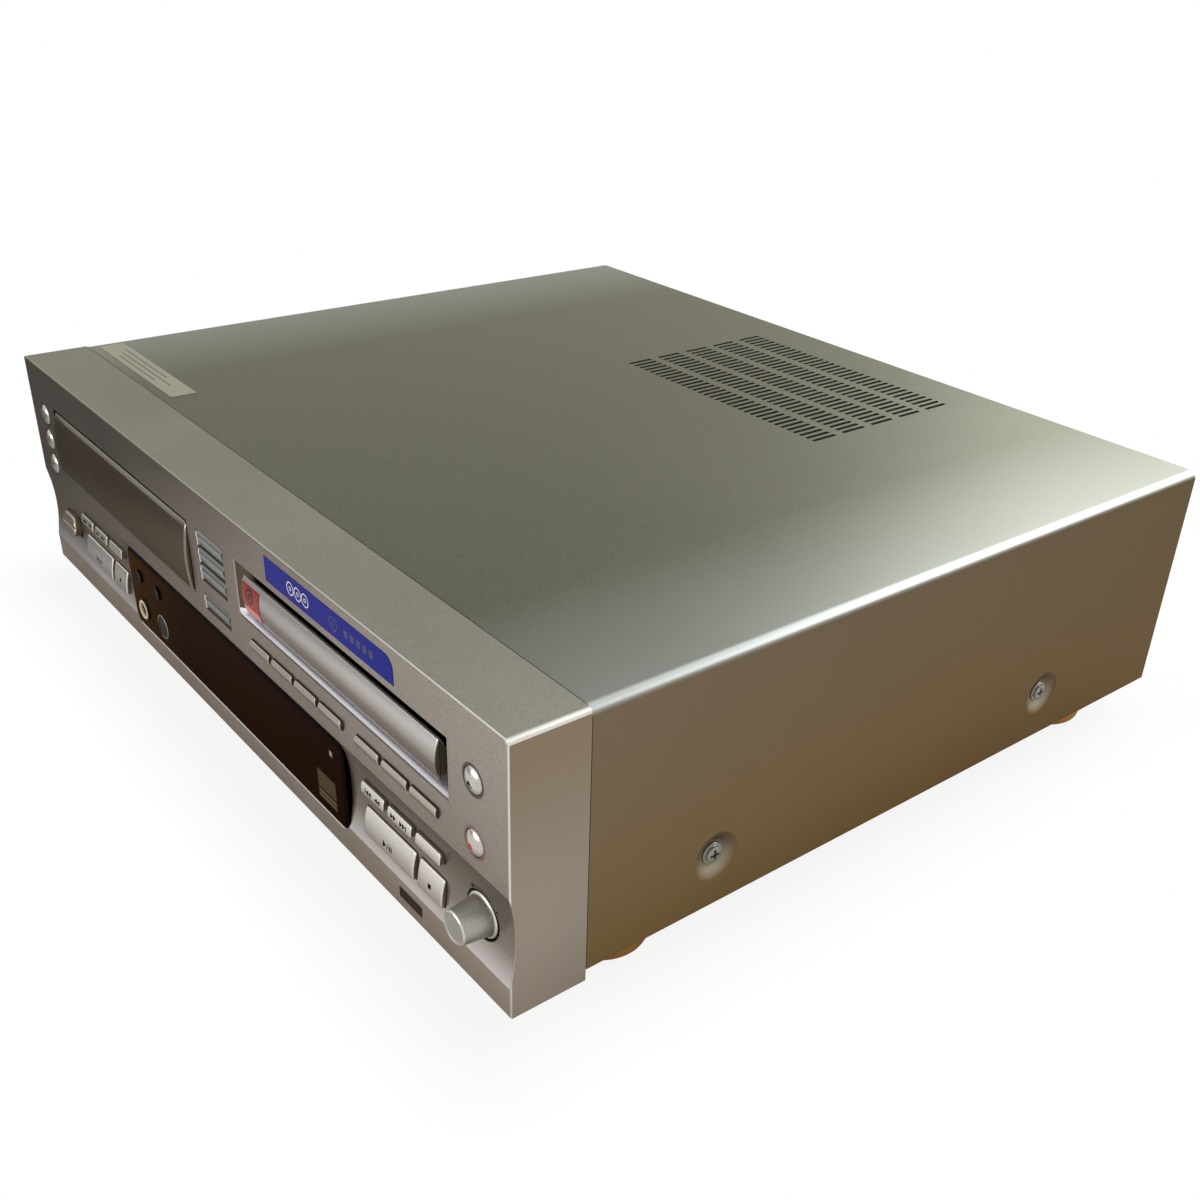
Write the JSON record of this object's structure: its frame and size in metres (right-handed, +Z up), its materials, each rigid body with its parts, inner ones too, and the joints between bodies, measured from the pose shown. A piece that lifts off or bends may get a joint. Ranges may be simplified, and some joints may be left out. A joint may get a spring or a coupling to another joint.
{
  "type": "cd recorder",
  "caption": "Hi-fi disc changer and recorder deck with sliding disc drawers, press keys, jog knob, smoked display window, vented cover and round feet.",
  "frame": {"origin": "on the floor, under the middle of the whole box", "axes": "+X to the right seen from the front, +Y to the rear, +Z up; the front faces -Y"},
  "size_m": [0.42, 0.3762, 0.117],
  "materials": {
    "panel_silver": "champagne silver satin paint",
    "smoked_window": "smoked brown acrylic, polished",
    "cover_grey": "fine textured satin paint on sheet steel",
    "chassis_zinc": "zinc plated sheet steel",
    "foot_gold": "gold metallised",
    "foot_felt": "felt pad",
    "screw_steel": "zinc plated",
    "door_silver": "silver satin paint",
    "tray_black": "moulded black",
    "frame_plastic": "moulded dark grey",
    "gear_plastic": "moulded acetal",
    "spindle_metal": "turned",
    "pickup_black": "moulded black",
    "socket_cream": "pale nut and ring",
    "board_green": "circuit board",
    "transformer_core": "varnished laminations",
    "socket_black": "moulded black",
    "disc_key_grey": "grey translucent",
    "key_silver": "silver satin paint",
    "jog_silver": "satin silver",
    "knob_black": "moulded black"
  },
  "bodies": {
    "chassis": {"front_bezel": "panel_silver", "display_window": "smoked_window", "top_cover": "cover_grey", "bottom_chassis": "chassis_zinc", "rear_panel": "chassis_zinc", "feet": "foot_gold", "foot_pads": "foot_felt", "cover_screws": "screw_steel", "rear_screws": "screw_steel", "changer_lower_trays": "tray_black", "changer_frame": "frame_plastic", "recorder_frame": "frame_plastic", "phones_jack": "socket_cream", "control_board": "board_green", "main_board": "board_green", "power_transformer": "transformer_core", "line_sockets": "socket_black", "optical_sockets": "socket_black", "mains_inlet": "socket_black"},
    "changer_drawer": {"changer_door": "door_silver", "changer_tray": "tray_black"},
    "recorder_drawer": {"recorder_tray_front": "door_silver", "recorder_tray": "tray_black"},
    "changer_loading_gear": {"changer_loading_gear": "gear_plastic"},
    "changer_spindle": {"changer_spindle": "spindle_metal"},
    "changer_pickup": {"changer_pickup": "pickup_black"},
    "recorder_loading_gear": {"recorder_loading_gear": "gear_plastic"},
    "recorder_spindle": {"recorder_spindle": "spindle_metal"},
    "recorder_pickup": {"recorder_pickup": "pickup_black"},
    "power_button": {"power_button": "key_silver"},
    "recorder_open_button": {"recorder_open_button": "key_silver"},
    "record_button": {"record_button": "key_silver"},
    "changer_open_button_1": {"changer_open_button_1": "key_silver"},
    "changer_open_button_2": {"changer_open_button_2": "key_silver"},
    "changer_open_button_3": {"changer_open_button_3": "key_silver"},
    "disc_key_1": {"disc_key_1": "disc_key_grey"},
    "disc_key_2": {"disc_key_2": "disc_key_grey"},
    "disc_key_3": {"disc_key_3": "disc_key_grey"},
    "disc_key_4": {"disc_key_4": "disc_key_grey"},
    "program_key_1": {"program_key_1": "key_silver"},
    "program_key_2": {"program_key_2": "key_silver"},
    "program_key_3": {"program_key_3": "key_silver"},
    "program_key_4": {"program_key_4": "key_silver"},
    "mode_key_1": {"mode_key_1": "key_silver"},
    "mode_key_2": {"mode_key_2": "key_silver"},
    "mode_key_3": {"mode_key_3": "key_silver"},
    "changer_skip_back_key": {"changer_skip_back_key": "key_silver"},
    "changer_skip_forward_key": {"changer_skip_forward_key": "key_silver"},
    "changer_display_key": {"changer_display_key": "key_silver"},
    "changer_play_key": {"changer_play_key": "key_silver"},
    "changer_stop_key": {"changer_stop_key": "key_silver"},
    "recorder_skip_back_key": {"recorder_skip_back_key": "key_silver"},
    "recorder_skip_forward_key": {"recorder_skip_forward_key": "key_silver"},
    "recorder_display_key": {"recorder_display_key": "key_silver"},
    "recorder_play_key": {"recorder_play_key": "key_silver"},
    "recorder_stop_key": {"recorder_stop_key": "key_silver"},
    "jog_knob": {"jog_knob": "jog_silver"},
    "level_knob": {"level_knob": "knob_black"},
    "small_knob_1": {"small_knob_1": "knob_black"},
    "small_knob_2": {"small_knob_2": "knob_black"}
  },
  "joints": [
    {"name": "changer_drawer_slide", "type": "slide", "parent": "chassis", "child": "changer_drawer", "axis": [0, -1, 0], "range_m": [0, 0.138]},
    {"name": "changer_loading_gear_turn", "type": "hinge", "parent": "chassis", "child": "changer_loading_gear", "pos_m": [-0.1759, -0.1529, 0.0895], "axis": [0, 0, 1], "range_deg": [-1200, 0]},
    {"name": "changer_spindle_turn", "type": "hinge", "parent": "chassis", "child": "changer_spindle", "pos_m": [-0.0982, -0.0949, 0.06], "axis": [0, 0, 1], "continuous": true},
    {"name": "changer_pickup_slide", "type": "slide", "parent": "chassis", "child": "changer_pickup", "axis": [0, 1, 0], "range_m": [0, 0.034]},
    {"name": "recorder_drawer_slide", "type": "slide", "parent": "chassis", "child": "recorder_drawer", "axis": [0, -1, 0], "range_m": [0, 0.138]},
    {"name": "recorder_loading_gear_turn", "type": "hinge", "parent": "chassis", "child": "recorder_loading_gear", "pos_m": [0.0276, -0.1529, 0.081], "axis": [0, 0, 1], "range_deg": [-1200, 0]},
    {"name": "recorder_spindle_turn", "type": "hinge", "parent": "chassis", "child": "recorder_spindle", "pos_m": [0.1008, -0.0949, 0.06], "axis": [0, 0, 1], "continuous": true},
    {"name": "recorder_pickup_slide", "type": "slide", "parent": "chassis", "child": "recorder_pickup", "axis": [0, 1, 0], "range_m": [0, 0.034]},
    {"name": "power_button_press", "type": "slide", "parent": "chassis", "child": "power_button", "axis": [0, 1, 0], "range_m": [0, 0.0008], "stiffness_N_per_m": 1500},
    {"name": "recorder_open_button_press", "type": "slide", "parent": "chassis", "child": "recorder_open_button", "axis": [0, 1, 0], "range_m": [0, 0.0008], "stiffness_N_per_m": 1500},
    {"name": "record_button_press", "type": "slide", "parent": "chassis", "child": "record_button", "axis": [0, 1, 0], "range_m": [0, 0.0008], "stiffness_N_per_m": 1500},
    {"name": "changer_open_button_1_press", "type": "slide", "parent": "chassis", "child": "changer_open_button_1", "axis": [0, 1, 0], "range_m": [0, 0.0008], "stiffness_N_per_m": 1500},
    {"name": "changer_open_button_2_press", "type": "slide", "parent": "chassis", "child": "changer_open_button_2", "axis": [0, 1, 0], "range_m": [0, 0.0008], "stiffness_N_per_m": 1500},
    {"name": "changer_open_button_3_press", "type": "slide", "parent": "chassis", "child": "changer_open_button_3", "axis": [0, 1, 0], "range_m": [0, 0.0008], "stiffness_N_per_m": 1500},
    {"name": "disc_key_1_press", "type": "slide", "parent": "chassis", "child": "disc_key_1", "axis": [0, 1, 0], "range_m": [0, 0.0008], "stiffness_N_per_m": 1500},
    {"name": "disc_key_2_press", "type": "slide", "parent": "chassis", "child": "disc_key_2", "axis": [0, 1, 0], "range_m": [0, 0.0008], "stiffness_N_per_m": 1500},
    {"name": "disc_key_3_press", "type": "slide", "parent": "chassis", "child": "disc_key_3", "axis": [0, 1, 0], "range_m": [0, 0.0008], "stiffness_N_per_m": 1500},
    {"name": "disc_key_4_press", "type": "slide", "parent": "chassis", "child": "disc_key_4", "axis": [0, 1, 0], "range_m": [0, 0.0008], "stiffness_N_per_m": 1500},
    {"name": "program_key_1_press", "type": "slide", "parent": "chassis", "child": "program_key_1", "axis": [0, 1, 0], "range_m": [0, 0.0008], "stiffness_N_per_m": 1500},
    {"name": "program_key_2_press", "type": "slide", "parent": "chassis", "child": "program_key_2", "axis": [0, 1, 0], "range_m": [0, 0.0008], "stiffness_N_per_m": 1500},
    {"name": "program_key_3_press", "type": "slide", "parent": "chassis", "child": "program_key_3", "axis": [0, 1, 0], "range_m": [0, 0.0008], "stiffness_N_per_m": 1500},
    {"name": "program_key_4_press", "type": "slide", "parent": "chassis", "child": "program_key_4", "axis": [0, 1, 0], "range_m": [0, 0.0008], "stiffness_N_per_m": 1500},
    {"name": "mode_key_1_press", "type": "slide", "parent": "chassis", "child": "mode_key_1", "axis": [0, 1, 0], "range_m": [0, 0.0008], "stiffness_N_per_m": 1500},
    {"name": "mode_key_2_press", "type": "slide", "parent": "chassis", "child": "mode_key_2", "axis": [0, 1, 0], "range_m": [0, 0.0008], "stiffness_N_per_m": 1500},
    {"name": "mode_key_3_press", "type": "slide", "parent": "chassis", "child": "mode_key_3", "axis": [0, 1, 0], "range_m": [0, 0.0008], "stiffness_N_per_m": 1500},
    {"name": "changer_skip_back_key_press", "type": "slide", "parent": "chassis", "child": "changer_skip_back_key", "axis": [0, 1, 0], "range_m": [0, 0.0008], "stiffness_N_per_m": 1500},
    {"name": "changer_skip_forward_key_press", "type": "slide", "parent": "chassis", "child": "changer_skip_forward_key", "axis": [0, 1, 0], "range_m": [0, 0.0008], "stiffness_N_per_m": 1500},
    {"name": "changer_display_key_press", "type": "slide", "parent": "chassis", "child": "changer_display_key", "axis": [0, 1, 0], "range_m": [0, 0.0008], "stiffness_N_per_m": 1500},
    {"name": "changer_play_key_press", "type": "slide", "parent": "chassis", "child": "changer_play_key", "axis": [0, 1, 0], "range_m": [0, 0.0008], "stiffness_N_per_m": 1500},
    {"name": "changer_stop_key_press", "type": "slide", "parent": "chassis", "child": "changer_stop_key", "axis": [0, 1, 0], "range_m": [0, 0.0008], "stiffness_N_per_m": 1500},
    {"name": "recorder_skip_back_key_press", "type": "slide", "parent": "chassis", "child": "recorder_skip_back_key", "axis": [0, 1, 0], "range_m": [0, 0.0008], "stiffness_N_per_m": 1500},
    {"name": "recorder_skip_forward_key_press", "type": "slide", "parent": "chassis", "child": "recorder_skip_forward_key", "axis": [0, 1, 0], "range_m": [0, 0.0008], "stiffness_N_per_m": 1500},
    {"name": "recorder_display_key_press", "type": "slide", "parent": "chassis", "child": "recorder_display_key", "axis": [0, 1, 0], "range_m": [0, 0.0008], "stiffness_N_per_m": 1500},
    {"name": "recorder_play_key_press", "type": "slide", "parent": "chassis", "child": "recorder_play_key", "axis": [0, 1, 0], "range_m": [0, 0.0008], "stiffness_N_per_m": 1500},
    {"name": "recorder_stop_key_press", "type": "slide", "parent": "chassis", "child": "recorder_stop_key", "axis": [0, 1, 0], "range_m": [0, 0.0008], "stiffness_N_per_m": 1500},
    {"name": "jog_knob_turn", "type": "hinge", "parent": "chassis", "child": "jog_knob", "pos_m": [0.1916, -0.1789, 0.0393], "axis": [0, -1, 0], "continuous": true},
    {"name": "level_knob_turn", "type": "hinge", "parent": "chassis", "child": "level_knob", "pos_m": [-0.0674, -0.1789, 0.029], "axis": [0, -1, 0], "range_deg": [-140, 140]},
    {"name": "small_knob_1_turn", "type": "hinge", "parent": "chassis", "child": "small_knob_1", "pos_m": [-0.0883, -0.1789, 0.046], "axis": [0, -1, 0], "range_deg": [-140, 140]},
    {"name": "small_knob_2_turn", "type": "hinge", "parent": "chassis", "child": "small_knob_2", "pos_m": [-0.0674, -0.1789, 0.046], "axis": [0, -1, 0], "range_deg": [-140, 140]}
  ],
  "couplings": [
    {"joint": "changer_loading_gear_turn", "follows": "changer_drawer_slide", "rad_per_m": -142.86},
    {"joint": "recorder_loading_gear_turn", "follows": "recorder_drawer_slide", "rad_per_m": -142.86}
  ]
}
